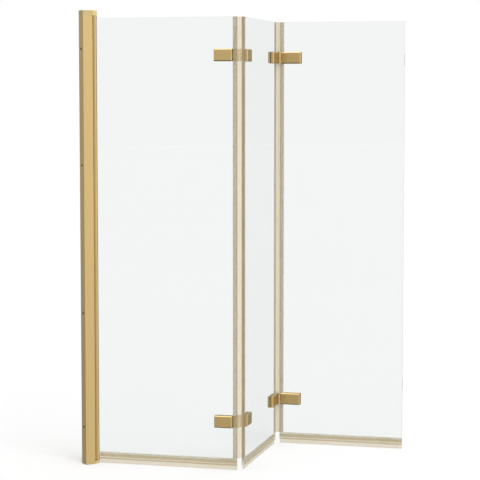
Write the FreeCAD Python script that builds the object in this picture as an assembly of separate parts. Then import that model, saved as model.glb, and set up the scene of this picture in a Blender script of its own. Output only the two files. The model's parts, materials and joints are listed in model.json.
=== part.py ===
import FreeCAD, Part
import math
import os

# Three-panel folding bath screen, in millimetres, standing in its half-folded position.
# X runs away from the wall, the wall face is at X zero, and Z is up from the bath rim.

os.makedirs("parts", exist_ok=True)

# Overall sizes
overall_height = 1380.0
pivot_out = 43.0
first_reach = 445.0
second_width = 407.0
third_width = 400.0
glass_thickness = 6.0
glass_bottom = 24.5
glass_top_inset = 22.5

# Directions of the three panels seen from above, and a right angle between face and normal
first_angle = -45.0
second_angle = 45.0
third_angle = -45.0
right_angle = 90.0

# Wall channel and the post nested in it
channel_width = 30.0
channel_depth = 29.0
channel_wall = 2.0
fixing_hole_radius = 4.0
outer_fixing_inset = 115.0
inner_fixing_inset = 465.0
post_clearance = 0.5
post_setback = 9.0
post_wall = 2.0
neck_half_width = 6.0
stile_clearance = 0.6

# End caps
top_cap_height = 15.5
bottom_cap_height = 9.0
cap_shoulder = 4.0

# Round stile and its pivots
stile_radius = 9.0
stile_gap = 1.2
stile_gasket = 1.0
glass_bite = 3.0
plug_reach = 4.0
plug_height = 24.0
plug_clearance = 0.1
notch_clearance = 0.5
pivot_radius = 2.5
pivot_clearance = 0.05
bush_radius = 4.5
bush_flange_radius = 6.0
bush_floor = 2.5
bush_seat_clearance = 0.05
thrust_clearance = 0.1
pivot_end_clearance = 0.5
plug_screw_radius = 2.0
plug_screw_depth = 9.5
plug_screw_recess = 0.4

# Folds: the gap between glass edges when flat, between blocks when folded, and past the wall channel
glass_gap = 2.5
fold_gap = 2.8
channel_pass = 2.0

# Hinge blocks
hinge_height = 36.5
upper_hinge_inset = 113.0
lower_hinge_inset = 122.2
plate_start = 12.5
plate_end = 68.0
cover_projection = 8.0
plate_bevel = 2.5
hinge_gasket = 0.8
gasket_margin = 1.2
arm_clearance = 1.6
knuckle_radius = 6.4
knuckle_clearance = 0.8
knuckle_web_inset = 0.4
outer_knuckle_share = 0.31
pin_radius = 3.0
pin_clearance = 0.04
pin_recess = 0.5
washer_thickness = 0.8
washer_play = 0.1
washer_inset = 0.5
cover_wall = 2.0
cover_fit = 0.15
cover_skin = 2.2
clamp_screw_spacing = 26.0
clamp_screw_radius = 2.5
clamp_head_radius = 4.4
clamp_head_height = 2.5
clamp_head_recess = 0.3
thread_skin = 2.8
clamp_clearance = 0.25
thread_clearance = 0.05
sleeve_wall = 1.6
sleeve_clearance = 0.2

# Seals
seal_leg = 1.2
seal_plate_gap = 1.2
seal_meeting_gap = 0.9
seal_end_gap = 2.2
strip_thickness = 0.8
strip_end_gap = 0.1
bottom_seal_top = 35.5
chamber_bottom = 13.0
chamber_wall = 1.2
drip_rail_rise = 3.8
drip_rail_height = 1.6
drip_rail_projection = 1.0
lip_root = 1.8
lip_tip = 0.8

# Screws of the wall frame
cap_screw_radius = 1.7
cap_screw_head_radius = 3.2
cap_screw_head_height = 2.2
cap_screw_recess = 1.3
cap_screw_bite = 12.0
cap_screw_clearance = 0.2
boss_wall = 1.8
post_screw_radius = 2.0
post_screw_head_radius = 3.8
post_screw_head_height = 2.0
post_screw_bite = 4.0
post_screw_count = 3
post_screw_inset = 270.0

# Working allowance for cuts that run right through
overrun = 5.0

# Values that follow from the sizes above
half_glass = glass_thickness / 2
glass_top = overall_height - glass_top_inset
post_bottom = bottom_cap_height
post_top = overall_height - top_cap_height
stile_bottom = post_bottom + stile_gap
stile_top = post_top - stile_gap
channel_inside = channel_width / 2 - channel_wall
post_half = channel_inside - post_clearance
slot_half = half_glass + stile_gasket
slot_floor = -(glass_bite + stile_gasket)
notch_end = plug_reach + notch_clearance
upper_notch = stile_top - plug_height - notch_clearance
lower_notch = stile_bottom + plug_height + notch_clearance
seat = half_glass + hinge_gasket
cover_face = half_glass + cover_projection
clamp_face = cover_face - cover_skin - cover_fit
hinge_offset = (channel_width / 2 + channel_pass + cover_face) / 2
plate_face = hinge_offset - fold_gap / 2
clamp_screw_tip = plate_face - thread_skin
seal_leg_length = plate_start - seal_plate_gap
seal_web = (glass_gap - seal_meeting_gap) / 2
bush_depth = bottom_cap_height - bush_floor
cap_screw_grip = bottom_cap_height - cap_screw_head_height - cap_screw_recess
arm_under = half_glass + seal_leg + arm_clearance
axis_reach = -glass_gap / 2
arm_start = knuckle_radius + knuckle_clearance + axis_reach
bore_radius = pin_radius + pin_clearance
strip_radius = hinge_offset - half_glass
sleeve_radius = clamp_screw_radius + clamp_clearance + sleeve_wall
clamp_screw_reaches = [
    (plate_start + plate_end - clamp_screw_spacing) / 2,
    (plate_start + plate_end + clamp_screw_spacing) / 2,
]
hinge_centres = {"upper": glass_top - upper_hinge_inset, "lower": glass_bottom + lower_hinge_inset}
boss_radius = cap_screw_radius + boss_wall
boss_x = post_setback + (channel_depth - post_setback) / 2
boss_y = post_half - post_wall - cap_screw_radius
post_screw_step = (overall_height - 2 * post_screw_inset) / (post_screw_count - 1)
post_screw_heights = [post_screw_inset + index * post_screw_step for index in range(post_screw_count)]
fixing_insets = [outer_fixing_inset, inner_fixing_inset]
fixing_heights = fixing_insets + [overall_height - inset for inset in fixing_insets]

upward = FreeCAD.Vector(0, 0, 1)


# Simple solids

def block(x_range, y_range, z_range):
    low = [min(pair) for pair in (x_range, y_range, z_range)]
    high = [max(pair) for pair in (x_range, y_range, z_range)]
    spans = [top - bottom for bottom, top in zip(low, high)]
    return Part.makeBox(spans[0], spans[1], spans[2], FreeCAD.Vector(low[0], low[1], low[2]))


def upright(radius, x, y, z_range):
    low, high = min(z_range), max(z_range)
    return Part.makeCylinder(radius, high - low, FreeCAD.Vector(x, y, low), upward)


def rod_along_x(radius, x_range, y, z):
    low, high = min(x_range), max(x_range)
    return Part.makeCylinder(radius, high - low, FreeCAD.Vector(low, y, z), FreeCAD.Vector(1, 0, 0))


def rod_along_y(radius, x, y_range, z):
    low, high = min(y_range), max(y_range)
    return Part.makeCylinder(radius, high - low, FreeCAD.Vector(x, low, z), FreeCAD.Vector(0, 1, 0))


def fused(solids):
    whole = solids[0]
    for solid in solids[1:]:
        whole = whole.fuse(solid)
    return whole.removeSplitter()


def cut(solid, tools):
    for tool in tools:
        solid = solid.cut(tool)
    return solid


def bevelled(solid, face_y, size, spared_x=None):
    chosen = []
    for edge in solid.Edges:
        points = [vertex.Point for vertex in edge.Vertexes]
        on_face = all(math.isclose(point.y, face_y) for point in points)
        spared = spared_x is not None and all(math.isclose(point.x, spared_x) for point in points)
        if on_face and not spared:
            chosen.append(edge)
    return solid.makeChamfer(size, chosen)


# Panel frames: each panel is drawn along its own X and then turned into place

def turned(x, y, degrees):
    angle = math.radians(degrees)
    return (x * math.cos(angle) - y * math.sin(angle), x * math.sin(angle) + y * math.cos(angle))


def moved(point, x, y, degrees):
    step = turned(x, y, degrees)
    return (point[0] + step[0], point[1] + step[1])


first_origin = (pivot_out, 0.0)
first_axis = moved(first_origin, first_reach + glass_gap / 2, hinge_offset, first_angle)
second_origin = moved(first_axis, glass_gap / 2, -hinge_offset, second_angle)
second_axis = moved(second_origin, second_width + glass_gap / 2, -hinge_offset, second_angle)
third_origin = moved(second_axis, glass_gap / 2, hinge_offset, third_angle)
frames = {
    "wall": ((0.0, 0.0), 0.0),
    "first": (first_origin, first_angle),
    "second": (second_origin, second_angle),
    "third": (third_origin, third_angle),
}


def save(name, frame, solids):
    origin, angle = frames[frame]
    shape = solids[0] if len(solids) == 1 else Part.makeCompound(solids)
    shape = shape.copy()
    shape.rotate(FreeCAD.Vector(0, 0, 0), upward, angle)
    shape.translate(FreeCAD.Vector(origin[0], origin[1], 0))
    shape.exportStep("parts/" + name + ".step")


# A corner is one hinged glass edge: where it is, which way the glass runs, and which side folds together
corners = {
    "first": (first_reach, -1, 1),
    "second_near": (0.0, 1, 1),
    "second_far": (second_width, -1, -1),
    "third": (0.0, 1, -1),
}


def corner_x(corner, reach):
    return corner[0] + corner[1] * reach


def corner_block(corner, reaches, depths, z_range):
    x_range = [corner_x(corner, reach) for reach in reaches]
    y_range = [corner[2] * depth for depth in depths]
    return block(x_range, y_range, z_range)


def corner_post(corner, radius, reach, depth, z_range):
    return upright(radius, corner_x(corner, reach), corner[2] * depth, z_range)


def corner_rod(corner, radius, reach, depths, z):
    return rod_along_y(radius, corner_x(corner, reach), [corner[2] * depth for depth in depths], z)


# Hinge pieces

def hinge_span(centre):
    return (centre - hinge_height / 2, centre + hinge_height / 2)


def outer_spans(centre):
    low, high = hinge_span(centre)
    length = hinge_height * outer_knuckle_share
    return [(low, low + length), (high - length, high)]


def middle_span(centre):
    lower, upper = outer_spans(centre)
    step = washer_thickness + 2 * washer_play
    return (lower[1] + step, upper[0] - step)


def hinge_leaf(corner, centre, spans):
    height = hinge_span(centre)
    plate = corner_block(corner, (plate_start, plate_end), (seat, plate_face), height)
    arm = corner_block(corner, (arm_start, plate_start), (arm_under, plate_face), height)
    body = fused([plate, arm])
    body = bevelled(body, corner[2] * plate_face, plate_bevel, corner_x(corner, arm_start))
    web_depths = (hinge_offset - knuckle_radius + knuckle_web_inset, plate_face - plate_bevel)
    solids = [body]
    for span in spans:
        solids.append(corner_post(corner, knuckle_radius, axis_reach, hinge_offset, span))
        solids.append(corner_block(corner, (axis_reach, arm_start), web_depths, span))
    leaf = fused(solids)
    tall = (height[0] - overrun, height[1] + overrun)
    bore = corner_post(corner, bore_radius, axis_reach, hinge_offset, tall)
    threads = [
        corner_rod(corner, clamp_screw_radius + thread_clearance, reach,
                   (seat - overrun, clamp_screw_tip + thread_clearance), centre)
        for reach in clamp_screw_reaches
    ]
    return cut(leaf, [bore] + threads)


def hinge_cover(corner, centre):
    low, high = hinge_span(centre)
    shell = corner_block(corner, (plate_start, plate_end), (-seat, -cover_face), (low, high))
    shell = bevelled(shell, -corner[2] * cover_face, plate_bevel)
    pocket = corner_block(
        corner,
        (plate_start + cover_wall, plate_end - cover_wall),
        (-seat + overrun, -clamp_face - cover_fit),
        (low + cover_wall, high - cover_wall),
    )
    return shell.cut(pocket)


def clamp_plate(corner, centre):
    low, high = hinge_span(centre)
    inset = cover_wall + cover_fit
    plate = corner_block(corner, (plate_start + inset, plate_end - inset), (-seat, -clamp_face),
                         (low + inset, high - inset))
    head_floor = clamp_face - clamp_head_recess - clamp_head_height
    holes = []
    for reach in clamp_screw_reaches:
        holes.append(corner_rod(corner, clamp_screw_radius + clamp_clearance, reach,
                                (-seat + overrun, -clamp_face - overrun), centre))
        holes.append(corner_rod(corner, clamp_head_radius + clamp_clearance, reach,
                                (-head_floor, -clamp_face - overrun), centre))
    return cut(plate, holes)


def clamp_screws(corner, centre):
    head_top = clamp_face - clamp_head_recess
    head_floor = head_top - clamp_head_height
    screws = []
    for reach in clamp_screw_reaches:
        head = corner_rod(corner, clamp_head_radius, reach, (-head_top, -head_floor), centre)
        shank = corner_rod(corner, clamp_screw_radius, reach, (-head_floor, clamp_screw_tip), centre)
        screws.append(fused([head, shank]))
    return screws


def hinge_gaskets(corner, centre):
    low, high = hinge_span(centre)
    reaches = (plate_start + gasket_margin, plate_end - gasket_margin)
    height = (low + gasket_margin, high - gasket_margin)
    inner = [corner_block(corner, reaches, (half_glass, seat), height)]
    outer = corner_block(corner, reaches, (-half_glass, -seat), height)
    bores = []
    for reach in clamp_screw_reaches:
        inner.append(corner_rod(corner, sleeve_radius, reach, (-half_glass, half_glass), centre))
        bores.append(corner_rod(corner, clamp_screw_radius + clamp_clearance, reach,
                                (-seat - overrun, seat + overrun), centre))
    return [cut(fused(inner), bores), cut(outer, bores)]


def hinge_pin(corner, centre):
    low, high = hinge_span(centre)
    return corner_post(corner, pin_radius, axis_reach, hinge_offset, (low + pin_recess, high - pin_recess))


def hinge_washers(corner, centre):
    lower, upper = outer_spans(centre)
    starts = [lower[1] + washer_play, upper[0] - washer_play - washer_thickness]
    washers = []
    for start in starts:
        span = (start, start + washer_thickness)
        disc = corner_post(corner, knuckle_radius - washer_inset, axis_reach, hinge_offset, span)
        washers.append(disc.cut(corner_post(corner, bore_radius, axis_reach, hinge_offset, span)))
    return washers


def save_hinges(frame, label, corner, spans_of):
    for level, centre in hinge_centres.items():
        save(label + "_" + level + "_leaf", frame, [hinge_leaf(corner, centre, spans_of(centre))])
        save(label + "_" + level + "_cover", frame, [hinge_cover(corner, centre)])


def save_hinge_sets(frame, panel_corners):
    pairs = [(corner, centre) for corner in panel_corners for centre in hinge_centres.values()]
    plates = [clamp_plate(corner, centre) for corner, centre in pairs]
    screws = [screw for corner, centre in pairs for screw in clamp_screws(corner, centre)]
    sheets = [sheet for corner, centre in pairs for sheet in hinge_gaskets(corner, centre)]
    save(frame + "_clamp_plates", frame, plates)
    save(frame + "_hinge_screws", frame, screws)
    save(frame + "_hinge_gaskets", frame, sheets)


def save_fold(frame, label, corner):
    washers = []
    for level, centre in hinge_centres.items():
        save(label + "_" + level + "_pin", frame, [hinge_pin(corner, centre)])
        washers += hinge_washers(corner, centre)
    save(label + "_washers", frame, washers)


# Glass and seals

def glass_pane(x_range, panel_corners):
    pane = block(x_range, (-half_glass, half_glass), (glass_bottom, glass_top))
    holes = [
        corner_rod(corner, sleeve_radius + sleeve_clearance, reach,
                   (-half_glass - overrun, half_glass + overrun), centre)
        for corner in panel_corners
        for centre in hinge_centres.values()
        for reach in clamp_screw_reaches
    ]
    return cut(pane, holes)


def edge_seal(corner):
    outside = half_glass + seal_leg
    height = (bottom_seal_top, glass_top)
    sleeve = corner_block(corner, (-seal_web, seal_leg_length), (-outside, outside), height)
    tall = (height[0] - overrun, height[1] + overrun)
    return sleeve.cut(corner_block(corner, (0, seal_leg_length + overrun), (-half_glass, half_glass), tall))


def bottom_seal(x_range):
    outside = half_glass + seal_leg
    rail = outside + drip_rail_projection
    rail_low = chamber_bottom + drip_rail_rise
    grip = block(x_range, (-outside, outside), (chamber_bottom, bottom_seal_top))
    rails = block(x_range, (-rail, rail), (rail_low, rail_low + drip_rail_height))
    section = [
        FreeCAD.Vector(min(x_range), -lip_root / 2, chamber_bottom),
        FreeCAD.Vector(min(x_range), lip_root / 2, chamber_bottom),
        FreeCAD.Vector(min(x_range), lip_tip / 2, 0),
        FreeCAD.Vector(min(x_range), -lip_tip / 2, 0),
    ]
    outline = Part.makePolygon(section + section[:1])
    lip = Part.Face(outline).extrude(FreeCAD.Vector(max(x_range) - min(x_range), 0, 0))
    seal = fused([grip, rails, lip])
    beyond = (min(x_range) - overrun, max(x_range) + overrun)
    slot = block(beyond, (-half_glass, half_glass), (glass_bottom, bottom_seal_top + overrun))
    inside = outside - chamber_wall
    chamber = block(beyond, (-inside, inside), (chamber_bottom + chamber_wall, glass_bottom - chamber_wall))
    return cut(seal, [slot, chamber])


def fold_strip(axis, start_angle, sweep):
    slack = math.degrees(math.asin((glass_gap / 2 - seal_web - strip_end_gap) / strip_radius))
    base = FreeCAD.Vector(axis[0], axis[1], bottom_seal_top)
    height = glass_top - bottom_seal_top
    outer = Part.makeCylinder(strip_radius + strip_thickness / 2, height, base, upward, sweep + 2 * slack)
    inner = Part.makeCylinder(strip_radius - strip_thickness / 2, height, base, upward, sweep + 2 * slack)
    strip = outer.cut(inner)
    strip.rotate(base, upward, start_angle - slack)
    return strip


# Wall channel, post and caps

def wall_channel():
    height = (post_bottom, post_top)
    tall = (post_bottom - overrun, post_top + overrun)
    outside = block((0, channel_depth), (-channel_width / 2, channel_width / 2), height)
    hollow = block((channel_wall, channel_depth + overrun), (-channel_inside, channel_inside), tall)
    back = (-overrun, channel_wall + overrun)
    holes = [rod_along_x(fixing_hole_radius, back, 0, z) for z in fixing_heights]
    side = (channel_inside - overrun, channel_width / 2 + overrun)
    holes += [
        rod_along_y(post_screw_radius + cap_screw_clearance, boss_x, side, z) for z in post_screw_heights
    ]
    return cut(outside, [hollow] + holes)


def pivot_post():
    height = (post_bottom, post_top)
    tall = (post_bottom - overrun, post_top + overrun)
    outside = block((post_setback, channel_depth), (-post_half, post_half), height)
    inside_half = post_half - post_wall
    hollow = block((post_setback + post_wall, channel_depth - post_wall), (-inside_half, inside_half), tall)
    neck = block((channel_depth - post_wall, pivot_out), (-neck_half_width, neck_half_width), height)
    bosses = [upright(boss_radius, boss_x, side * boss_y, height) for side in (-1, 1)]
    post = fused([outside.cut(hollow), neck] + bosses)
    socket = upright(stile_radius + stile_clearance, pivot_out, 0, tall)
    bores = [
        upright(cap_screw_radius + thread_clearance, boss_x, side * boss_y, tall) for side in (-1, 1)
    ]
    side_holes = [
        rod_along_y(post_screw_radius + thread_clearance, boss_x,
                    (post_half - post_screw_bite - thread_clearance, post_half + overrun), z)
        for z in post_screw_heights
    ]
    return cut(post, [socket] + bores + side_holes)


def cap_body(z_range):
    low, high = min(z_range), max(z_range)
    half = channel_width / 2
    shoulder = channel_depth + cap_shoulder
    reach = math.hypot(pivot_out - shoulder, half)
    slant = math.sqrt(reach ** 2 - stile_radius ** 2)
    lean = math.atan2(half, pivot_out - shoulder) - math.asin(stile_radius / reach)
    touch_x = shoulder + slant * math.cos(lean)
    touch_y = half - slant * math.sin(lean)
    front = [(touch_x, -touch_y), (shoulder, -half), (0, -half)]
    back = [(0, half), (shoulder, half), (touch_x, touch_y)]
    points = [FreeCAD.Vector(x, y, low) for x, y in front + back]
    tip = FreeCAD.Vector(pivot_out + stile_radius, 0, low)
    edges = [Part.makeLine(start, end) for start, end in zip(points, points[1:])]
    edges.append(Part.Arc(points[-1], tip, points[0]).toShape())
    return Part.Face(Part.Wire(edges)).extrude(upward * (high - low))


def end_cap(outer_z, inner_z):
    inward = 1 if inner_z > outer_z else -1
    cap = cap_body((outer_z, inner_z))
    seat_depth = bush_depth + bush_seat_clearance
    bush_hole = upright(bush_radius + bush_seat_clearance, pivot_out, 0,
                        (inner_z - inward * seat_depth, inner_z + inward * overrun))
    head_level = inner_z - inward * cap_screw_grip
    holes = [bush_hole]
    for side in (-1, 1):
        holes.append(upright(cap_screw_radius + cap_screw_clearance, boss_x, side * boss_y,
                             (outer_z - inward * overrun, inner_z + inward * overrun)))
        holes.append(upright(cap_screw_head_radius + cap_screw_clearance, boss_x, side * boss_y,
                             (outer_z - inward * overrun, head_level)))
    return cut(cap, holes)


def cap_screw_pair(outer_z, inner_z):
    inward = 1 if inner_z > outer_z else -1
    head_level = inner_z - inward * cap_screw_grip
    tip_level = inner_z + inward * cap_screw_bite
    screws = []
    for side in (-1, 1):
        head = upright(cap_screw_head_radius, boss_x, side * boss_y,
                       (head_level - inward * cap_screw_head_height, head_level))
        shank = upright(cap_screw_radius, boss_x, side * boss_y, (head_level, tip_level))
        screws.append(fused([head, shank]))
    return screws


def pivot_bush(inner_z, inward):
    flange_end = inner_z + inward * (stile_gap - thrust_clearance)
    sleeve = upright(bush_radius, pivot_out, 0, (inner_z - inward * bush_depth, inner_z))
    flange = upright(bush_flange_radius, pivot_out, 0, (inner_z, flange_end))
    bore = upright(pivot_radius + pivot_clearance, pivot_out, 0,
                   (inner_z - inward * (bush_depth + overrun), flange_end + inward * overrun))
    return fused([sleeve, flange]).cut(bore)


def post_screws():
    screws = []
    for z in post_screw_heights:
        head = rod_along_y(post_screw_head_radius, boss_x,
                           (channel_width / 2, channel_width / 2 + post_screw_head_height), z)
        shank = rod_along_y(post_screw_radius, boss_x, (post_half - post_screw_bite, channel_width / 2), z)
        screws.append(fused([head, shank]))
    return screws


# Stile and pivots, drawn with the pivot axis at the panel's own zero

def plug_screw_level(stile_end, inward):
    return stile_end + inward * plug_height / 2


def plug_screw_rod(stile_end, inward, radius, start, end):
    return rod_along_x(radius, (start, end), 0, plug_screw_level(stile_end, inward))


def pivot_stile():
    height = (stile_bottom, stile_top)
    tall = (stile_bottom - overrun, stile_top + overrun)
    barrel = upright(stile_radius, 0, 0, height)
    slot = block((slot_floor, stile_radius + overrun), (-slot_half, slot_half), tall)
    hole_radius = plug_screw_radius + thread_clearance
    holes = [
        plug_screw_rod(end, inward, hole_radius, -stile_radius - overrun, slot_floor + overrun)
        for end, inward in stile_ends
    ]
    return cut(barrel, [slot] + holes)


def pivot_plug(stile_end, inward):
    half = slot_half - plug_clearance
    height = (stile_end, stile_end + inward * plug_height)
    body = block((slot_floor + plug_clearance, plug_reach), (-half, half), height)
    pin_end = stile_end - inward * (stile_gap + bush_depth - pivot_end_clearance)
    pin = upright(pivot_radius, 0, 0, (stile_end, pin_end))
    tip = -stile_radius + plug_screw_recess + plug_screw_depth + thread_clearance
    bore = plug_screw_rod(stile_end, inward, plug_screw_radius + thread_clearance, -stile_radius, tip)
    return fused([body, pin]).cut(bore)


def plug_screw(stile_end, inward):
    start = -stile_radius + plug_screw_recess
    return plug_screw_rod(stile_end, inward, plug_screw_radius, start, start + plug_screw_depth)


def stile_gasket_strip():
    end = math.sqrt(stile_radius ** 2 - slot_half ** 2) - stile_gasket / 2
    height = (lower_notch, upper_notch)
    sleeve = block((slot_floor, end), (-slot_half, slot_half), height)
    tall = (lower_notch - overrun, upper_notch + overrun)
    return sleeve.cut(block((-glass_bite, end + overrun), (-half_glass, half_glass), tall))


stile_ends = [(stile_bottom, 1), (stile_top, -1)]

# Pieces fixed to the wall
save("wall_channel", "wall", [wall_channel()])
save("pivot_post", "wall", [pivot_post()])
save("top_cap", "wall", [end_cap(overall_height, post_top)])
save("bottom_cap", "wall", [end_cap(0, post_bottom)])
save("upper_bush", "wall", [pivot_bush(post_top, -1)])
save("lower_bush", "wall", [pivot_bush(post_bottom, 1)])
save("cap_screws", "wall", cap_screw_pair(0, post_bottom) + cap_screw_pair(overall_height, post_top))
save("post_screws", "wall", post_screws())

# First panel
notch_heights = [(upper_notch, glass_top + overrun), (glass_bottom - overrun, lower_notch)]
notches = [
    block((-glass_bite - overrun, notch_end), (-slot_half, slot_half), height)
    for height in notch_heights
]
first_corner = corners["first"]
save("first_glass", "first", [cut(glass_pane((-glass_bite, first_reach), [first_corner]), notches)])
save("pivot_stile", "first", [pivot_stile()])
save("stile_gasket", "first", [stile_gasket_strip()])
save("lower_pivot_plug", "first", [pivot_plug(stile_bottom, 1)])
save("upper_pivot_plug", "first", [pivot_plug(stile_top, -1)])
save("plug_screws", "first", [plug_screw(end, inward) for end, inward in stile_ends])
save("first_bottom_seal", "first", [bottom_seal((stile_radius + seal_end_gap, first_reach + seal_web))])
save("first_edge_seal", "first", [edge_seal(first_corner)])
save_hinges("first", "first", first_corner, outer_spans)
save_hinge_sets("first", [first_corner])
save_fold("first", "first_fold", first_corner)

# Second panel
near_corner = corners["second_near"]
far_corner = corners["second_far"]
save("second_glass", "second", [glass_pane((0, second_width), [near_corner, far_corner])])
save("second_bottom_seal", "second", [bottom_seal((-seal_web, second_width + seal_web))])
save("second_near_seal", "second", [edge_seal(near_corner)])
save("second_far_seal", "second", [edge_seal(far_corner)])
save_hinges("second", "second_near", near_corner, lambda centre: [middle_span(centre)])
save_hinges("second", "second_far", far_corner, outer_spans)
save_hinge_sets("second", [near_corner, far_corner])
save_fold("second", "second_fold", far_corner)

# Third panel
third_corner = corners["third"]
save("third_glass", "third", [glass_pane((0, third_width), [third_corner])])
save("third_bottom_seal", "third", [bottom_seal((-seal_web, third_width))])
save("third_edge_seal", "third", [edge_seal(third_corner)])
save_hinges("third", "third", third_corner, lambda centre: [middle_span(centre)])
save_hinge_sets("third", [third_corner])

# Soft strips between the edge seals of each fold
first_strip = fold_strip(first_axis, first_angle - right_angle, second_angle - first_angle)
second_strip = fold_strip(second_axis, third_angle + right_angle, second_angle - third_angle)
save("first_fold_strip", "wall", [first_strip])
save("second_fold_strip", "wall", [second_strip])
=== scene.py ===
import json
import math

import bpy
from bpy.props import FloatProperty, FloatVectorProperty, IntProperty, PointerProperty
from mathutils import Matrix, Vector


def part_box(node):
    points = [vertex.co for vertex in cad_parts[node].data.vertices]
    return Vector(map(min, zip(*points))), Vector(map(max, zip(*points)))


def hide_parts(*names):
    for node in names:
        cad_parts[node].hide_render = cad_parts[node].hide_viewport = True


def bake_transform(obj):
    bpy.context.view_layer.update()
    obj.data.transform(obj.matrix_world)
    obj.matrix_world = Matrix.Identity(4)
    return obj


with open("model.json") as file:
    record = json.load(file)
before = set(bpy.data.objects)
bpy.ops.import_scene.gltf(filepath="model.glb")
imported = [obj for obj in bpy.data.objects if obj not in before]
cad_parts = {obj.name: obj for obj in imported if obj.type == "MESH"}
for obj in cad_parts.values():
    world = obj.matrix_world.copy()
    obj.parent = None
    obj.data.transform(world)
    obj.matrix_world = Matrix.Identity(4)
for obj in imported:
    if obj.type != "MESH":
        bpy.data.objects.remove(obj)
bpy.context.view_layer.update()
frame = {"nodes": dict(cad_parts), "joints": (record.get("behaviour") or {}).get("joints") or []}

bl_info = {
    "name": "Folding Bath Screen",
    "version": (1, 0, 0),
    "blender": (4, 5, 0),
    "location": "View3D > Sidebar > Bath Screen",
    "description": "Finishes a three-panel folding bath screen in gold, clear glass and soft vinyl",
    "category": "Object",
}

panels = ("first", "second", "third")
levels = ("upper", "lower")
hinge_sides = ("first", "second_near", "second_far", "third")
joints = {joint["name"]: joint for joint in frame["joints"]}

# Lines per metre along X, Y and Z that drawing, brushing or moulding leaves, and their depth in metres
upright_lines = (1100.0, 1100.0, 2.0)
level_lines = (20.0, 20.0, 3600.0)
cap_grain = (500.0, 500.0, 500.0)
steel_grain = (800.0, 800.0, 800.0)
seal_lines = (700.0, 700.0, 1.5)
drawn_depth = 0.00003
brushed_depth = 0.00002
seal_line_depth = 0.0001
metal_bump = 0.25
vinyl_bump = 0.2

# How metal varies: shares of its plain colour, and how much of the clouded and rubbed tones is mixed in
dull_line = 0.95
bright_line = 1.03
cloud_tone = 0.94
cloud_share = 0.35
rubbed_tone = 1.18
rubbed_share = 0.30
rubbed_reach = 0.0012

# How vinyl and rubber vary, as shares of their plain colour
dull_cloud = 0.96
bright_cloud = 1.03

# Roughness of the smaller pieces, and how far roughness swings below and above its middle
steel_roughness = 0.32
acetal_roughness = 0.38
rubber_roughness = 0.62
seal_roughness = 0.34
strip_roughness = 0.42
metal_swing = (0.04, 0.05)
vinyl_swing = (0.05, 0.06)

# Bending of light in glass and vinyl, the gloss past which light is trapped in the glass, and a pane's tones
glass_ior = 1.50
vinyl_ior = 1.5
trapped_gloss = 0.98
dull_pane = 0.997
bright_pane = 1.003
shadow_tint = 0.2

# Levels of a bottom seal above its lip, in metres, and what it hides there as a share of one face's cover;
# the bands partly follow how thick the vinyl is and partly paint a shadow under the rail and a highlight
# where the rail catches light
chamber_foot_shade_cover = 1.55
chamber_shade_bands = {
    # From the lip up to here, a darker band: painted shadow under the rail
    "top of the chamber's floor": (0.0162, 1.50),
    # From here to the top of the thin wall, a lighter band: painted highlight where the rail catches light
    "foot of the chamber's thin wall": (0.0168, 0.42),
    "top of the chamber's thin wall": (0.0196, 0.45),
    "foot of the grip": (0.0205, 1.45),
    "past the glass edge": (0.0262, 1.36),
    "thin legs of the grip": (0.0300, 0.78),
}
lip_blend = 0.0003
lip_step = 0.0002

# Soft strips: thin share of each half, thickness left at the ends, and share of the bend past each end
thin_share = 0.72
end_share = 0.55
crease = math.radians(40.0)

# Room that metal shows: tone, its direction, and how closely a ray faces it where it starts and is full
room_walls = (
    ("left_tone", (-0.86, -0.51, 0.0), 0.30, 0.75),
    ("front_tone", (0.82, -0.57, 0.0), 0.45, 0.80),
    ("side_tone", (0.966, -0.259, 0.0), 0.80, 0.95),
    ("gap_tone", (0.857, 0.515, 0.0), 0.86, 0.97),
)

# Upward slope of rays between which the walls grow paler, the roof lamps come in and the ground comes in
wall_span = (-0.3, 0.3)
wall_shares = (0.76, 1.24)
roof_span = (0.70, 0.92)
ground_span = (-0.82, -0.94)

# Lamps: name, the way they shine, and their spread in degrees
lamps = (
    ("key_light", (0.05, 0.82, -0.57), 40.0),
    ("top_light", (0.0, 0.15, -1.0), 60.0),
)


# Sizes and colours that a user would change

def colour(name, description, default):
    return FloatVectorProperty(
        name=name, description=description, subtype="COLOR", size=3, min=0.0, max=1.0, default=default)


def share(name, description, default):
    return FloatProperty(
        name=name, description=description, subtype="FACTOR", min=0.0, max=1.0, default=default)


def length(name, description, default):
    return FloatProperty(
        name=name, description=description, subtype="DISTANCE", unit="LENGTH", min=0.0, precision=5,
        default=default)


def rotation(name, description, degrees):
    return FloatProperty(
        name=name, description=description, subtype="ANGLE", unit="ROTATION", default=math.radians(degrees))


def brightness(name, description, default):
    return FloatProperty(name=name, description=description, min=0.0, default=default)


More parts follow.
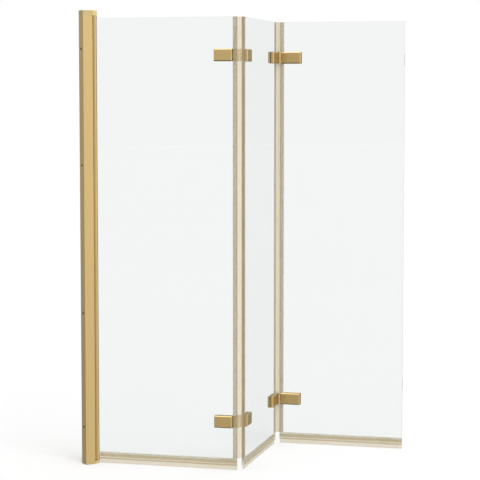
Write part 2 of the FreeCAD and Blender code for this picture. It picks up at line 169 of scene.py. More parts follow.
class BathScreenFinishes(bpy.types.PropertyGroup):
    """Colours and sheen of the metal, glass and vinyl"""

    profile_gold: colour(
        "Profile gold", "Anodised gold of the wall profile and stile", (0.620, 0.452, 0.200))
    cap_gold: colour("Cap gold", "Satin gold of the end caps", (0.575, 0.440, 0.205))
    hinge_gold: colour("Hinge gold", "Brushed gold of the hinge plates", (0.610, 0.440, 0.190))
    glass_tint: colour(
        "Glass tint", "What the clear glass lets through, seen straight on", (0.898, 0.915, 0.907))
    glass_edge_tint: colour(
        "Glass edge tint", "What it lets through along its length", (0.774, 0.802, 0.803))
    glass_gloss: share("Glass gloss", "How strongly the panes mirror what is round them", 0.15)
    seal_champagne: colour("Seal champagne", "Rigid vinyl of the edge seals", (0.435, 0.360, 0.205))
    drip_champagne: colour("Drip champagne", "Rigid vinyl of the bottom seals", (0.495, 0.400, 0.200))
    strip_vinyl: colour("Strip vinyl", "Soft vinyl of the fold strips", (0.635, 0.532, 0.325))
    # Painted shade: the inside of the wall profile, seen in its screw holes, is coloured near black for the
    # shade that falls there
    inside_painted_shade: colour(
        "Inside dark", "Bare inside of the wall profile, seen in its screw holes", (0.020, 0.015, 0.008))
    gasket_dark: colour("Gasket dark", "Rubber under the hinge plates", (0.115, 0.092, 0.058))
    gasket_brown: colour("Gasket brown", "Rubber between the stile and the glass", (0.300, 0.235, 0.140))
    bush_white: colour("Bush white", "Acetal of the pivot bushes and hinge washers", (0.790, 0.770, 0.720))
    steel_grey: colour(
        "Steel grey", "Stainless steel of pins, screws and clamp plates", (0.600, 0.600, 0.610))
    profile_roughness: share("Profile roughness", "Satin of the anodised gold", 0.36)
    hinge_roughness: share("Hinge roughness", "Satin of the brushed gold", 0.30)
    seal_cover: share("Seal cover", "How much one face of the rigid vinyl hides", 0.33)
    web_cover: share("Web cover", "How much the web along the glass edge hides", 0.76)
    grip_cover: share("Grip cover", "How much of that is left at the upper edge of a bottom seal", 0.38)
    strip_cover: share("Strip cover", "How much one face of the soft vinyl hides", 0.38)


class BathScreenSizes(bpy.types.PropertyGroup):
    """Sizes of the soft strips and of the lips under the panes"""

    strip_radius: length("Strip radius", "From the fold's axis to the middle of the strip", 0.0110)
    strip_thickness: length("Strip thickness", "Thickness of the thin middle of the strip", 0.0008)
    root_thickness: length("Root thickness", "Thickness of the strip where it joins the seals", 0.0011)
    strip_half_sweep: rotation("Strip half sweep", "Turn of the strip to each side of its middle", 46.8)
    strip_turns: IntProperty(name="Strip steps", description="Faces round the strip", min=8, default=32)
    strip_rows: IntProperty(name="Strip rows", description="Faces along the strip", min=1, default=24)
    lip_height: length("Lip height", "Height of the soft lip under a bottom seal", 0.0130)


class BathScreenStage(bpy.types.PropertyGroup):
    """Camera, floor and light"""

    floor_white: colour("Floor white", "Colour of the floor", (0.80, 0.80, 0.80))
    floor_glow: share("Floor glow", "Added to the floor where it is seen, to bring it to white", 0.180)
    room_light: share("Room light", "Light that comes from all round", 0.55)
    key_light: brightness("Key light", "Soft light from the front", 1.3)
    top_light: brightness("Top light", "Soft light from overhead", 0.8)
    front_tone: brightness("Front tone", "Room in front, as metal shows it", 1.22)
    left_tone: brightness("Left tone", "Room at the left, as metal shows it", 0.82)
    side_tone: brightness("Side tone", "Room at the right, as metal shows it", 1.55)
    gap_tone: brightness("Gap tone", "Darker part of the room behind the right, as metal shows it", 0.43)
    back_tone: brightness("Back tone", "Room behind, as metal shows it", 0.59)
    roof_tone: brightness("Roof tone", "Lamps overhead, as metal shows them", 2.2)
    ground_tone: brightness("Ground tone", "Ground below, as metal shows it", 0.03)
    lens: FloatProperty(name="Lens", description="Camera lens", unit="CAMERA", min=1.0, default=129.598)
    camera_place: FloatVectorProperty(
        name="Camera place", description="Where the camera stands", subtype="TRANSLATION", unit="LENGTH",
        default=(-2.2357, -4.7424, 1.1253))
    camera_yaw: rotation("Camera turn", "Turn to the right of straight ahead", 30.466)
    camera_tilt: rotation("Camera tilt", "Tilt below the level", 4.782)


# Building blocks for the shader trees

def put(tree, kind, *place, **settings):
    made = tree.nodes.new(kind)
    made.location = place
    for name, value in settings.items():
        setattr(made, name, value)
    return made


def new_group(name, inputs, outputs):
    tree = bpy.data.node_groups.new(name, "ShaderNodeTree")
    for label, kind, default in inputs:
        socket = tree.interface.new_socket(label, in_out="INPUT", socket_type=kind)
        socket.default_value = default
    for label, kind in outputs:
        tree.interface.new_socket(label, in_out="OUTPUT", socket_type=kind)
    return tree, put(tree, "NodeGroupInput", -900, 0), put(tree, "NodeGroupOutput", 600, 0)


def drawn_lines_group():
    """Fine lines that drawing or brushing leaves along the metal, as a value and a height."""
    if "Drawn lines" in bpy.data.node_groups:
        return bpy.data.node_groups["Drawn lines"]
    tree, given, result = new_group(
        "Drawn lines", [("Lines per metre", "NodeSocketVector", (900.0, 900.0, 3.0))],
        [("Lines", "NodeSocketFloat"), ("Height", "NodeSocketFloat")])
    place = put(tree, "ShaderNodeTexCoord", -900, 250)
    stretch = put(tree, "ShaderNodeVectorMath", -650, 100, operation="MULTIPLY")
    noise = put(tree, "ShaderNodeTexNoise", -420, 100)
    noise.inputs["Scale"].default_value = 1.0
    noise.inputs["Detail"].default_value = 3.0
    noise.inputs["Roughness"].default_value = 0.62
    spread = put(tree, "ShaderNodeMapRange", -150, 100)
    spread.inputs["From Min"].default_value = 0.3
    spread.inputs["From Max"].default_value = 0.7
    tree.links.new(place.outputs["Object"], stretch.inputs[0])
    tree.links.new(given.outputs["Lines per metre"], stretch.inputs[1])
    tree.links.new(stretch.outputs[0], noise.inputs["Vector"])
    tree.links.new(noise.outputs["Fac"], spread.inputs["Value"])
    tree.links.new(spread.outputs["Result"], result.inputs["Lines"])
    tree.links.new(noise.outputs["Fac"], result.inputs["Height"])
    return tree


def cloudy_tone_group():
    """Slow change of tone over a surface, as a value from 0 to 1."""
    if "Cloudy tone" in bpy.data.node_groups:
        return bpy.data.node_groups["Cloudy tone"]
    tree, given, result = new_group(
        "Cloudy tone", [("Clouds per metre", "NodeSocketFloat", 12.0), ("Detail", "NodeSocketFloat", 3.0)],
        [("Tone", "NodeSocketFloat")])
    place = put(tree, "ShaderNodeTexCoord", -900, 250)
    noise = put(tree, "ShaderNodeTexNoise", -420, 100)
    spread = put(tree, "ShaderNodeMapRange", -150, 100, interpolation_type="SMOOTHSTEP")
    spread.inputs["From Min"].default_value = 0.28
    spread.inputs["From Max"].default_value = 0.72
    tree.links.new(place.outputs["Object"], noise.inputs["Vector"])
    tree.links.new(given.outputs["Clouds per metre"], noise.inputs["Scale"])
    tree.links.new(given.outputs["Detail"], noise.inputs["Detail"])
    tree.links.new(noise.outputs["Fac"], spread.inputs["Value"])
    tree.links.new(spread.outputs["Result"], result.inputs["Tone"])
    return tree


def rubbed_edge_group():
    """Edges and corners where the finish is rubbed, as a mask from 0 to 1."""
    if "Rubbed edge" in bpy.data.node_groups:
        return bpy.data.node_groups["Rubbed edge"]
    tree, given, result = new_group(
        "Rubbed edge", [("Reach", "NodeSocketFloat", 0.0012)], [("Rubbed", "NodeSocketFloat")])
    rounded = put(tree, "ShaderNodeBevel", -650, 100, samples=6)
    flat = put(tree, "ShaderNodeNewGeometry", -650, -150)
    likeness = put(tree, "ShaderNodeVectorMath", -420, 0, operation="DOT_PRODUCT")
    spread = put(tree, "ShaderNodeMapRange", -150, 0)
    spread.inputs["From Min"].default_value = 0.995
    spread.inputs["From Max"].default_value = 0.80
    tree.links.new(given.outputs["Reach"], rounded.inputs["Radius"])
    tree.links.new(rounded.outputs["Normal"], likeness.inputs[0])
    tree.links.new(flat.outputs["Normal"], likeness.inputs[1])
    tree.links.new(likeness.outputs["Value"], spread.inputs["Value"])
    tree.links.new(spread.outputs["Result"], result.inputs["Rubbed"])
    return tree


def mirrored_rays(tree, *place):
    """1 for rays that metal or glass mirrors, and 0 for the rest, also those through the glass."""
    path = put(tree, "ShaderNodeLightPath", *place)
    mirrored = put(tree, "ShaderNodeMath", place[0] + 200, place[1], operation="SUBTRACT", use_clamp=True)
    tree.links.new(path.outputs["Is Glossy Ray"], mirrored.inputs[0])
    tree.links.new(path.outputs["Is Transmission Ray"], mirrored.inputs[1])
    return mirrored.outputs["Value"]


def seen_rays(tree, *place):
    """1 for rays from the camera, or by way of metal or glass, and 0 for the rest."""
    path = put(tree, "ShaderNodeLightPath", *place)
    first = put(tree, "ShaderNodeMath", place[0] + 200, place[1], operation="MAXIMUM")
    second = put(tree, "ShaderNodeMath", place[0] + 400, place[1], operation="MAXIMUM")
    tree.links.new(path.outputs["Is Camera Ray"], first.inputs[0])
    tree.links.new(path.outputs["Is Glossy Ray"], first.inputs[1])
    tree.links.new(first.outputs["Value"], second.inputs[0])
    tree.links.new(path.outputs["Is Transmission Ray"], second.inputs[1])
    return second.outputs["Value"]


class Finish:
    """A material's shader tree while it is being put together."""

    def __init__(self, name):
        self.material = bpy.data.materials.new(name)
        self.material.use_nodes = True
        self.tree = self.material.node_tree
        self.shader = self.tree.nodes["Principled BSDF"]
        self.output = self.tree.nodes["Material Output"]

    def set(self, **values):
        for name, value in values.items():
            self.shader.inputs[name.replace("_", " ")].default_value = value

    def group(self, tree, *place, **values):
        made = put(self.tree, "ShaderNodeGroup", *place, node_tree=tree)
        for name, value in values.items():
            made.inputs[name.replace("_", " ")].default_value = value
        return made

    def mix(self, factor, low, high, *place):
        """A colour between two, by a value; each may be a colour or another node's output."""
        made = put(self.tree, "ShaderNodeMix", *place, data_type="RGBA")
        self.tree.links.new(factor, made.inputs["Factor"])
        colours = [socket for socket in made.inputs if socket.type == "RGBA"]
        for socket, value in zip(colours, (low, high)):
            if isinstance(value, bpy.types.NodeSocket):
                self.tree.links.new(value, socket)
            else:
                socket.default_value = (*value, 1.0)
        return next(socket for socket in made.outputs if socket.type == "RGBA")

    def between(self, value, low, high, *place):
        """A number between two, by a value from 0 to 1."""
        made = put(self.tree, "ShaderNodeMapRange", *place)
        made.inputs["To Min"].default_value = low
        made.inputs["To Max"].default_value = high
        self.tree.links.new(value, made.inputs["Value"])
        return made.outputs["Result"]

    def within(self, low, high, *place):
        """1 inside an upright box, given in the frame's metres, and 0 outside it."""
        here = put(self.tree, "ShaderNodeTexCoord", *place)
        split = put(self.tree, "ShaderNodeSeparateXYZ", place[0] + 200, place[1])
        self.tree.links.new(here.outputs["Object"], split.inputs["Vector"])
        mask = None
        for row, (axis, start, end) in enumerate(zip("XYZ", low, high)):
            across = place[0] + 400
            down = place[1] - 200 * row
            held = put(self.tree, "ShaderNodeMath", across, down, operation="COMPARE")
            held.inputs[1].default_value = (start + end) / 2
            held.inputs[2].default_value = (end - start) / 2
            self.tree.links.new(split.outputs[axis], held.inputs[0])
            if mask:
                both = put(self.tree, "ShaderNodeMath", across + 200, down, operation="MULTIPLY")
                self.tree.links.new(mask, both.inputs[0])
                self.tree.links.new(held.outputs["Value"], both.inputs[1])
                mask = both.outputs["Value"]
            else:
                mask = held.outputs["Value"]
        return mask

    def bump(self, height, strength, distance, *place):
        made = put(self.tree, "ShaderNodeBump", *place)
        made.inputs["Strength"].default_value = strength
        made.inputs["Distance"].default_value = distance
        self.tree.links.new(height, made.inputs["Height"])
        self.link(made.outputs["Normal"], "Normal")

    def link(self, output, name):
        self.tree.links.new(output, self.shader.inputs[name])

    def choose(self, factor, low, high, *place):
        """One shader or another, by a value from 0 to 1."""
        made = put(self.tree, "ShaderNodeMixShader", *place)
        self.tree.links.new(factor, made.inputs["Fac"])
        self.tree.links.new(low, made.inputs[1])
        self.tree.links.new(high, made.inputs[2])
        return made.outputs["Shader"]

    def let_light_through(self, seen, tint):
        """Shows the finish itself, while the light for other pieces goes straight through it."""
        path = put(self.tree, "ShaderNodeLightPath", 100, 650)
        either = put(self.tree, "ShaderNodeMath", 300, 550, operation="MAXIMUM")
        both = put(self.tree, "ShaderNodeMath", 500, 450, operation="MAXIMUM")
        straight = put(self.tree, "ShaderNodeBsdfTransparent", 500, -50)
        straight.inputs["Color"].default_value = (*tint, 1.0)
        self.tree.links.new(path.outputs["Is Shadow Ray"], either.inputs[0])
        self.tree.links.new(mirrored_rays(self.tree, 100, 900), either.inputs[1])
        self.tree.links.new(either.outputs["Value"], both.inputs[0])
        self.tree.links.new(path.outputs["Is Diffuse Ray"], both.inputs[1])
        chosen = self.choose(both.outputs["Value"], seen, straight.outputs["BSDF"], 750, 150)
        self.output.location = (1000, 150)
        self.tree.links.new(chosen, self.output.inputs["Surface"])


def scaled(tone, factor):
    return tuple(min(1.0, channel * factor) for channel in tone)


def metal_finish(name, tone, roughness, lines, line_depth, inside=None):
    """Satin metal with drawn lines and rubbed edges; inside is a box of painted shade: two corners and its
    colour.
    """
    finish = Finish(name)
    finish.set(Metallic=1.0)
    drawn = finish.group(drawn_lines_group(), -1000, 200, Lines_per_metre=lines)
    cloudy = finish.group(cloudy_tone_group(), -1000, -50, Clouds_per_metre=9.0)
    edge = finish.group(rubbed_edge_group(), -1000, -250, Reach=rubbed_reach)
    lined = finish.mix(drawn.outputs["Lines"], scaled(tone, dull_line), scaled(tone, bright_line), -700, 250)
    clouds = finish.between(cloudy.outputs["Tone"], 0.0, cloud_share, -700, 0)
    toned = finish.mix(clouds, lined, scaled(tone, cloud_tone), -450, 200)
    rubbed = finish.between(edge.outputs["Rubbed"], 0.0, rubbed_share, -700, -250)
    worn = finish.mix(rubbed, toned, scaled(tone, rubbed_tone), -220, 150)
    if inside:
        low, high, painted_shade_colour = inside
        # Painted shade: inside the box the colour turns near black, for the shade inside the screw holes
        worn = finish.mix(finish.within(low, high, -1400, -600), worn, painted_shade_colour, 0, 250)
    finish.link(worn, "Base Color")
    less, more = metal_swing
    satin = finish.between(drawn.outputs["Lines"], roughness - less, roughness + more, -450, -150)
    finish.link(satin, "Roughness")
    finish.bump(drawn.outputs["Height"], metal_bump, line_depth, -220, -300)
    return finish.material


def vinyl_finish(name, tone, roughness, cover=1.0, clouds=30.0):
    """Vinyl, rubber or acetal, seen through where cover is below 1; gives the finish and its colour."""
    finish = Finish(name)
    finish.set(Metallic=0.0, IOR=vinyl_ior, Alpha=cover)
    cloudy = finish.group(cloudy_tone_group(), -1000, 100, Clouds_per_metre=clouds)
    drawn = finish.group(drawn_lines_group(), -1000, -100, Lines_per_metre=seal_lines)
    tones = (scaled(tone, dull_cloud), scaled(tone, bright_cloud))
    toned = finish.mix(cloudy.outputs["Tone"], *tones, -450, 200)
    finish.link(toned, "Base Color")
    less, more = vinyl_swing
    satin = finish.between(cloudy.outputs["Tone"], roughness - less, roughness + more, -450, -150)
    finish.link(satin, "Roughness")
    finish.bump(drawn.outputs["Height"], vinyl_bump, seal_line_depth, -220, -300)
    if cover < 1.0:
        finish.let_light_through(finish.shader.outputs["BSDF"], (1.0, 1.0, 1.0))
    return finish, toned


def bottom_seal_finish(name, finishes, sizes, top):
    """Rigid vinyl that hides more or less with height, on a paler lip of soft vinyl; its bands partly follow
    how thick the vinyl is and partly paint a shadow under the rail and a highlight where the rail catches
    light.
    """
    finish, toned = vinyl_finish(name, finishes.drip_champagne, seal_roughness, finishes.seal_cover)
    place = put(finish.tree, "ShaderNodeTexCoord", -1600, -400)
    split = put(finish.tree, "ShaderNodeSeparateXYZ", -1400, -400)
    finish.tree.links.new(place.outputs["Object"], split.inputs["Vector"])
    rigid = finish.between(split.outputs["Z"], 0.0, 1.0, -1000, -400)
    rigid.node.inputs["From Min"].default_value = sizes.lip_height - lip_blend
    rigid.node.inputs["From Max"].default_value = sizes.lip_height
    finish.link(finish.mix(rigid, finishes.strip_vinyl, toned, -200, 200), "Base Color")
    up = finish.between(split.outputs["Z"], 0.0, 1.0, -1200, -650)
    up.node.inputs["From Max"].default_value = top
    walls = put(finish.tree, "ShaderNodeValToRGB", -1000, -650)
    ramp = walls.color_ramp
    bands = [
        (0.0, finishes.strip_cover),
        (sizes.lip_height - lip_step, finishes.strip_cover),
        # Painted shadow under the rail, just above the lip
        (sizes.lip_height, finishes.seal_cover * chamber_foot_shade_cover),
    ]
    # These bands mix thicker and thinner vinyl with painted shade and a painted highlight along the rail
    for level, part in chamber_shade_bands.values():
        bands.append((level, finishes.seal_cover * part))
    bands.append((top, finishes.seal_cover * finishes.grip_cover))
    while len(ramp.elements) < len(bands):
        ramp.elements.new(1.0)
    for element, (level, cover) in zip(ramp.elements, bands):
        element.position = level / top
        element.color = (cover, cover, cover, 1.0)
    finish.tree.links.new(up, walls.inputs["Fac"])
    finish.link(walls.outputs["Color"], "Alpha")
    return finish.material


def beyond_edge_group():
    """The part of a seal that lies past the glass edge, as a mask from 0 to 1."""
    if "Beyond glass edge" in bpy.data.node_groups:
        return bpy.data.node_groups["Beyond glass edge"]
    tree, given, result = new_group(
        "Beyond glass edge",
        [("Fold", "NodeSocketVector", (0.0, 0.0, 0.0)), ("Outward", "NodeSocketVector", (1.0, 0.0, 0.0)),
         ("Edge", "NodeSocketFloat", -0.00125)],
        [("Web", "NodeSocketFloat")])
    place = put(tree, "ShaderNodeTexCoord", -900, 250)
    step = put(tree, "ShaderNodeVectorMath", -650, 150, operation="SUBTRACT")
    reach = put(tree, "ShaderNodeVectorMath", -420, 100, operation="DOT_PRODUCT")
    past = put(tree, "ShaderNodeMath", -150, 50, operation="GREATER_THAN")
    tree.links.new(place.outputs["Object"], step.inputs[0])
    tree.links.new(given.outputs["Fold"], step.inputs[1])
    tree.links.new(step.outputs["Vector"], reach.inputs[0])
    tree.links.new(given.outputs["Outward"], reach.inputs[1])
    tree.links.new(reach.outputs["Value"], past.inputs[0])
    tree.links.new(given.outputs["Edge"], past.inputs[1])
    tree.links.new(past.outputs["Value"], result.inputs["Web"])
    return tree


def deep_cover(cover, depth):
    """How much vinyl hides when it is so many times as deep."""
    return 1.0 - (1.0 - cover) ** depth


def edge_seal_finish(name, finishes, fold, turn, depth, shade):
    """Rigid vinyl whose web, seen through its whole depth, hides more than its thin legs."""
    legs = deep_cover(finishes.seal_cover, depth)
    web = deep_cover(finishes.web_cover, depth)
    # A shade below 1 darkens the vinyl's colour: painted shade for a seal that sits in shade
    finish = vinyl_finish(name, scaled(finishes.seal_champagne, shade), seal_roughness, legs)[0]
    outward = (math.cos(math.radians(turn)), math.sin(math.radians(turn)), 0.0)
    axis = tuple(joints[fold]["pos_m"])
    beyond = finish.group(beyond_edge_group(), -1000, -400, Fold=axis, Outward=outward)
    finish.link(finish.between(beyond.outputs["Web"], legs, web, -450, -500), "Alpha")
    return finish.material


def glass_finish(name, tint, edge_tint, gloss):
    """Clear glass that bends what is behind it, mirrors a little and is darker along its length."""
    finish = Finish(name)
    finish.set(Metallic=0.0, Transmission_Weight=1.0, IOR=glass_ior, Roughness=0.0)
    cloudy = finish.group(cloudy_tone_group(), -1000, 100, Clouds_per_metre=3.0)
    toned = finish.mix(cloudy.outputs["Tone"], scaled(tint, dull_pane), scaled(tint, bright_pane), -450, 200)
    finish.link(toned, "Base Color")
    face_tints = [tuple(math.sqrt(channel) for channel in whole) for whole in (tint, edge_tint)]
    slant = put(finish.tree, "ShaderNodeLayerWeight", -450, -350)
    slant.inputs["Blend"].default_value = 0.5
    clear = put(finish.tree, "ShaderNodeBsdfRefraction", 100, -250)
    clear.inputs["IOR"].default_value = glass_ior
    clear.inputs["Roughness"].default_value = 0.0
    slanted = finish.mix(slant.outputs["Facing"], *face_tints, -200, -350)
    finish.tree.links.new(slanted, clear.inputs["Color"])
    angle = put(finish.tree, "ShaderNodeFresnel", -300, 500)
    angle.inputs["IOR"].default_value = glass_ior
    trapped = put(finish.tree, "ShaderNodeMath", -100, 500, operation="GREATER_THAN")
    trapped.inputs[1].default_value = trapped_gloss
    mirrored = put(finish.tree, "ShaderNodeMath", 100, 450, operation="MAXIMUM")
    mirrored.inputs[1].default_value = gloss
    finish.tree.links.new(angle.outputs["Fac"], trapped.inputs[0])
    finish.tree.links.new(trapped.outputs["Value"], mirrored.inputs[0])
    gloss_shader = finish.shader.outputs["BSDF"]
    seen = finish.choose(mirrored.outputs["Value"], clear.outputs["BSDF"], gloss_shader, 350, 200)
    finish.let_light_through(seen, tuple(channel ** shadow_tint for channel in face_tints[0]))
    return finish.material


def dress(names, material):
    for name in names:
        if name not in frame["nodes"]:
            raise RuntimeError(f"the frame has no piece named {name}")
        frame["nodes"][name].material_slots[0].material = material


# The pieces

class BATHSCREEN_OT_wall_profile(bpy.types.Operator):
    """Gives the wall profile, its stile and its end caps their anodised gold"""

    bl_idname = "bathscreen.wall_profile"
    bl_label = "Wall Profile"

    def execute(self, context):
        finishes = context.scene.bath_screen_finishes
        low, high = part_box("wall_channel")
        skin = Vector((0.0003, 0.0022, 0.0))
        rim = Vector((0.0030, 0.0, 0.0))
        # The inside of the wall channel, seen through its screw holes, is painted in shade
        inside = (low + skin, high - skin - rim, finishes.inside_painted_shade)
        satin = finishes.profile_roughness
        gold = metal_finish("anodised_gold", finishes.profile_gold, satin, upright_lines, drawn_depth, inside)
        dress(("wall_channel", "pivot_post", "pivot_stile"), gold)
        cap = metal_finish("satin_gold", finishes.cap_gold, satin, cap_grain, drawn_depth)
        dress(("top_cap", "bottom_cap"), cap)
        return {"FINISHED"}


class BATHSCREEN_OT_hardware(bpy.types.Operator):
    """Gives pins, screws, plugs and clamp plates their steel, and bushes and washers their acetal"""

    bl_idname = "bathscreen.hardware"
    bl_label = "Pins, Screws and Bushes"

    def execute(self, context):
        finishes = context.scene.bath_screen_finishes
        steel = metal_finish(
            "stainless_steel", finishes.steel_grey, steel_roughness, steel_grain, brushed_depth)
        dress(("cap_screws", "post_screws", "upper_pivot_plug", "lower_pivot_plug", "plug_screws"), steel)
        dress([f"{panel}_clamp_plates" for panel in panels], steel)
        dress([f"{panel}_hinge_screws" for panel in panels], steel)
        dress([f"{fold}_fold_{level}_pin" for fold in panels[:2] for level in levels], steel)
        acetal = vinyl_finish("acetal", finishes.bush_white, acetal_roughness)[0].material
        dress(("upper_bush", "lower_bush", "first_fold_washers", "second_fold_washers"), acetal)
        return {"FINISHED"}


class BATHSCREEN_OT_glass(bpy.types.Operator):
    """Gives the three panes their clear glass"""

    bl_idname = "bathscreen.glass"
    bl_label = "Glass Panes"

    def execute(self, context):
        finishes = context.scene.bath_screen_finishes
        clear = glass_finish(
            "clear_glass", finishes.glass_tint, finishes.glass_edge_tint, finishes.glass_gloss)
        dress([f"{panel}_glass" for panel in panels], clear)
        return {"FINISHED"}


class BATHSCREEN_OT_hinges(bpy.types.Operator):
    """Gives the hinge leaves and covers their brushed gold"""

    bl_idname = "bathscreen.hinges"
    bl_label = "Hinges"

    def execute(self, context):
        finishes = context.scene.bath_screen_finishes
        gold = metal_finish(
            "brushed_gold", finishes.hinge_gold, finishes.hinge_roughness, level_lines, brushed_depth)
        for part in ("leaf", "cover"):
            dress([f"{side}_{level}_{part}" for side in hinge_sides for level in levels], gold)
        return {"FINISHED"}


class BATHSCREEN_OT_seals(bpy.types.Operator):
    """Gives the edge seals, bottom seals and gaskets their vinyl and rubber"""

    bl_idname = "bathscreen.seals"
    bl_label = "Seals and Gaskets"

    def execute(self, context):
        finishes = context.scene.bath_screen_finishes
        sizes = context.scene.bath_screen_sizes
        # Each seal, its fold, the direction out of the glass edge in degrees, the vinyl's depth, and its
        # shade: a share that darkens the seal in the first fold's corner as painted shade
        edges = (
            ("first_edge_seal", "first_fold", -45.0, 1.0, 1.0),
            ("second_near_seal", "first_fold", -135.0, 1.6, 0.86),
            ("second_far_seal", "second_fold", 45.0, 1.45, 1.0),
            ("third_edge_seal", "second_fold", 135.0, 0.85, 1.0),
        )
        for seal, fold, turn, depth, shade in edges:
            dress([seal], edge_seal_finish(f"{seal}_vinyl", finishes, fold, turn, depth, shade))
        lipped = bottom_seal_finish("lipped_vinyl", finishes, sizes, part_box("first_bottom_seal")[1].z)
        dress([f"{panel}_bottom_seal" for panel in panels], lipped)
        rubber = vinyl_finish("gasket_rubber", finishes.gasket_dark, rubber_roughness)[0].material
        dress([f"{panel}_hinge_gaskets" for panel in panels], rubber)
        brown = vinyl_finish("stile_rubber", finishes.gasket_brown, rubber_roughness)[0].material
        dress(["stile_gasket"], brown)
        return {"FINISHED"}


def strip_outline(sizes, middle, half_sweep):
    """Closed outline of a strip bent round a fold: thin in the middle and thicker at its two roots."""
    steps = sizes.strip_turns
    outer, inner = [], []
    for step in range(steps + 1):
        along = 2.0 * step / steps - 1.0
        angle = middle + along * half_sweep
        swell = max(0.0, (abs(along) - thin_share) / (1.0 - thin_share))
        added = (sizes.root_thickness - sizes.strip_thickness) * swell * swell
        half = (sizes.strip_thickness + added) / 2
        if step in (0, steps):
            half *= end_share
        for side, points in ((1, outer), (-1, inner)):
            radius = sizes.strip_radius + side * half
            points.append((radius * math.cos(angle), radius * math.sin(angle)))
    return outer + inner[::-1]


class BATHSCREEN_OT_fold_strips(bpy.types.Operator):
    """Makes the soft strip of each fold, bent round the hinge axis"""

    bl_idname = "bathscreen.fold_strips"
    bl_label = "Fold Strips"

    def execute(self, context):
        finishes = context.scene.bath_screen_finishes
        sizes = context.scene.bath_screen_sizes
        rows = sizes.strip_rows
        half_sweep = sizes.strip_half_sweep
        # Each fold with its two bodies, the direction its strip bulges in degrees, and the vinyl's depth
        folds = (
            ("first_fold", "first_panel", "second_panel", -90.0, 1.0),
            ("second_fold", "second_panel", "third_panel", 90.0, 1.6),
        )
        for fold, near_body, far_body, facing, depth in folds:
            node = f"{fold}_strip"
            cover = deep_cover(finishes.strip_cover, depth)
            soft = vinyl_finish(
                f"{fold}_soft_vinyl", finishes.strip_vinyl, strip_roughness, cover, clouds=18.0)[0].material
            low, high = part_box(node)
            axis = Vector(joints[fold]["pos_m"])
            outline = strip_outline(sizes, math.radians(facing), half_sweep)
            heights = [low.z + (high.z - low.z) * row / rows for row in range(rows + 1)]
            points = [(axis.x + x, axis.y + y, z) for z in heights for x, y in outline]
            count = len(outline)
            faces = [tuple(range(count))[::-1], tuple(range(rows * count, (rows + 1) * count))]
            for row in range(rows):
                for step in range(count):
                    after = (step + 1) % count
                    faces.append((row * count + step, row * count + after,
                                  (row + 1) * count + after, (row + 1) * count + step))
            mesh = bpy.data.meshes.new(f"{fold}_soft_strip")
            mesh.from_pydata(points, [], faces)
            mesh.validate()
            mesh.polygons.foreach_set("use_smooth", [True] * len(mesh.polygons))
            mesh.set_sharp_from_angle(angle=crease)
            mesh.materials.append(soft)
            strip = bpy.data.objects.new(f"{fold}_soft_strip", mesh)
            context.scene.collection.objects.link(strip)
            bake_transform(strip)
            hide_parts(node)
        return {"FINISHED"}


def sun(scene, name, direction, strength, spread):
    data = bpy.data.lights.new(name, "SUN")
    data.energy = strength
    data.angle = math.radians(spread)
    lamp = bpy.data.objects.new(name, data)
    lamp.rotation_euler = Vector(direction).to_track_quat("-Z", "Y").to_euler()
    lamp.visible_camera = False
    lamp.visible_glossy = False
    lamp.visible_transmission = False
    scene.collection.objects.link(lamp)


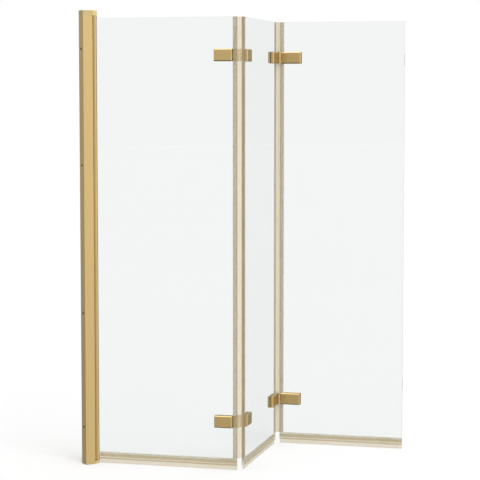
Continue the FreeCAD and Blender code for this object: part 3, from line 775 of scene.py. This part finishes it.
class BATHSCREEN_OT_stage(bpy.types.Operator):
    """Makes the floor, the light and the camera"""

    bl_idname = "bathscreen.stage"
    bl_label = "Stage"

    def execute(self, context):
        scene = context.scene
        stage = scene.bath_screen_stage
        scene.view_settings.view_transform = "Standard"
        self.make_floor(scene, stage)
        self.make_light(scene, stage)
        self.make_camera(scene, stage)
        return {"FINISHED"}

    def make_floor(self, scene, stage):
        half = 30.0
        level = -0.0006
        corners = [(-half, -half, level), (half, -half, level), (half, half, level), (-half, half, level)]
        mesh = bpy.data.meshes.new("floor")
        mesh.from_pydata(corners, [], [(0, 1, 2, 3)])
        finish = Finish("pale_floor")
        finish.set(Roughness=0.9, Specular_IOR_Level=0.0)
        cloudy = finish.group(cloudy_tone_group(), -900, 200, Clouds_per_metre=0.6)
        greyer = scaled(stage.floor_white, 0.995)
        toned = finish.mix(cloudy.outputs["Tone"], greyer, stage.floor_white, -500, 200)
        finish.link(toned, "Base Color")
        finish.set(Emission_Color=(1.0, 1.0, 1.0, 1.0))
        glow = finish.between(seen_rays(finish.tree, -1100, -300), 0.0, stage.floor_glow, -400, -300)
        finish.link(glow, "Emission Strength")
        mesh.materials.append(finish.material)
        floor = bpy.data.objects.new("floor", mesh)
        floor.visible_glossy = False
        scene.collection.objects.link(floor)

    def make_light(self, scene, stage):
        world = bpy.data.worlds.new("white_room")
        world.use_nodes = True
        tree = world.node_tree
        background = tree.nodes["Background"]
        background.inputs["Color"].default_value = (1.0, 1.0, 1.0, 1.0)
        seen = self.toned(tree, seen_rays(tree, -900, 100), stage.room_light, 1.0, -400, 0)
        mirrored = mirrored_rays(tree, -700, -400)
        strength = self.toned(tree, mirrored, seen, self.room_tone(tree, stage), -200, -100)
        tree.links.new(strength, background.inputs["Strength"])
        scene.world = world
        for name, direction, spread in lamps:
            sun(scene, name, direction, getattr(stage, name), spread)

    def room_tone(self, tree, stage):
        """Brightness of the room by direction, for what metal and glass mirror."""
        place = put(tree, "ShaderNodeTexCoord", -1900, -300)
        height = put(tree, "ShaderNodeSeparateXYZ", -1700, -500)
        tree.links.new(place.outputs["Generated"], height.inputs["Vector"])
        tone = stage.back_tone
        for row, (name, direction, start, full) in enumerate(room_walls):
            facing = put(tree, "ShaderNodeVectorMath", -1700, -250 * row, operation="DOT_PRODUCT")
            facing.inputs[1].default_value = direction
            tree.links.new(place.outputs["Generated"], facing.inputs[0])
            reach = self.rising(tree, facing.outputs["Value"], start, full, -1500, -250 * row)
            tone = self.toned(tree, reach, tone, getattr(stage, name), -1250, -250 * row)
        slope = self.rising(tree, height.outputs["Z"], *wall_span, -1500, -600)
        shaded = put(tree, "ShaderNodeMath", -1000, -300, operation="MULTIPLY")
        tree.links.new(tone, shaded.inputs[0])
        tree.links.new(self.toned(tree, slope, *wall_shares, -1250, -600), shaded.inputs[1])
        roof = self.rising(tree, height.outputs["Z"], *roof_span, -1500, -800)
        lit = self.toned(tree, roof, shaded.outputs["Value"], stage.roof_tone, -800, -400)
        ground = self.rising(tree, height.outputs["Z"], *ground_span, -1500, -1000)
        return self.toned(tree, ground, lit, stage.ground_tone, -600, -500)

    def rising(self, tree, value, start, full, *place):
        """0 up to the start, 1 from the full, and a smooth rise between them."""
        made = put(tree, "ShaderNodeMapRange", *place, interpolation_type="SMOOTHSTEP")
        made.inputs["From Min"].default_value = start
        made.inputs["From Max"].default_value = full
        tree.links.new(value, made.inputs["Value"])
        return made.outputs["Result"]

    def toned(self, tree, factor, low, high, *place):
        """A number between two, each a number or another node's output."""
        made = put(tree, "ShaderNodeMix", *place)
        tree.links.new(factor, made.inputs["Factor"])
        for name, value in (("A", low), ("B", high)):
            if isinstance(value, bpy.types.NodeSocket):
                tree.links.new(value, made.inputs[name])
            else:
                made.inputs[name].default_value = value
        return made.outputs["Result"]

    def make_camera(self, scene, stage):
        data = bpy.data.cameras.new("camera")
        data.sensor_width = 36.0
        data.lens = stage.lens
        data.clip_start = 0.1
        data.clip_end = 100.0
        camera = bpy.data.objects.new("camera", data)
        camera.location = stage.camera_place
        camera.rotation_euler = (math.radians(90.0) - stage.camera_tilt, 0.0, -stage.camera_yaw)
        scene.collection.objects.link(camera)
        scene.camera = camera


class BATHSCREEN_PT_sidebar(bpy.types.Panel):
    """Lists the screen's finishes, sizes and steps"""

    bl_idname = "BATHSCREEN_PT_sidebar"
    bl_label = "Folding Bath Screen"
    bl_space_type = "VIEW_3D"
    bl_region_type = "UI"
    bl_category = "Bath Screen"

    def draw(self, context):
        for pointer in groups:
            group = getattr(context.scene, pointer)
            box = self.layout.box()
            box.label(text=group.__doc__)
            for name in group.__annotations__:
                box.prop(group, name)
        column = self.layout.column(align=True)
        for step in steps:
            column.operator(step.bl_idname)


steps = (
    BATHSCREEN_OT_wall_profile,
    BATHSCREEN_OT_hardware,
    BATHSCREEN_OT_glass,
    BATHSCREEN_OT_hinges,
    BATHSCREEN_OT_seals,
    BATHSCREEN_OT_fold_strips,
    BATHSCREEN_OT_stage,
)
groups = {
    "bath_screen_finishes": BathScreenFinishes,
    "bath_screen_sizes": BathScreenSizes,
    "bath_screen_stage": BathScreenStage,
}


def register():
    for name, group in groups.items():
        bpy.utils.register_class(group)
        setattr(bpy.types.Scene, name, PointerProperty(type=group))
    for step in steps:
        bpy.utils.register_class(step)
    bpy.utils.register_class(BATHSCREEN_PT_sidebar)


def unregister():
    bpy.utils.unregister_class(BATHSCREEN_PT_sidebar)
    for step in reversed(steps):
        bpy.utils.unregister_class(step)
    for name, group in reversed(groups.items()):
        delattr(bpy.types.Scene, name)
        bpy.utils.unregister_class(group)


def main():
    register()
    for step in steps:
        family, name = step.bl_idname.split(".")
        getattr(getattr(bpy.ops, family), name)()


if __name__ == "__main__":
    main()
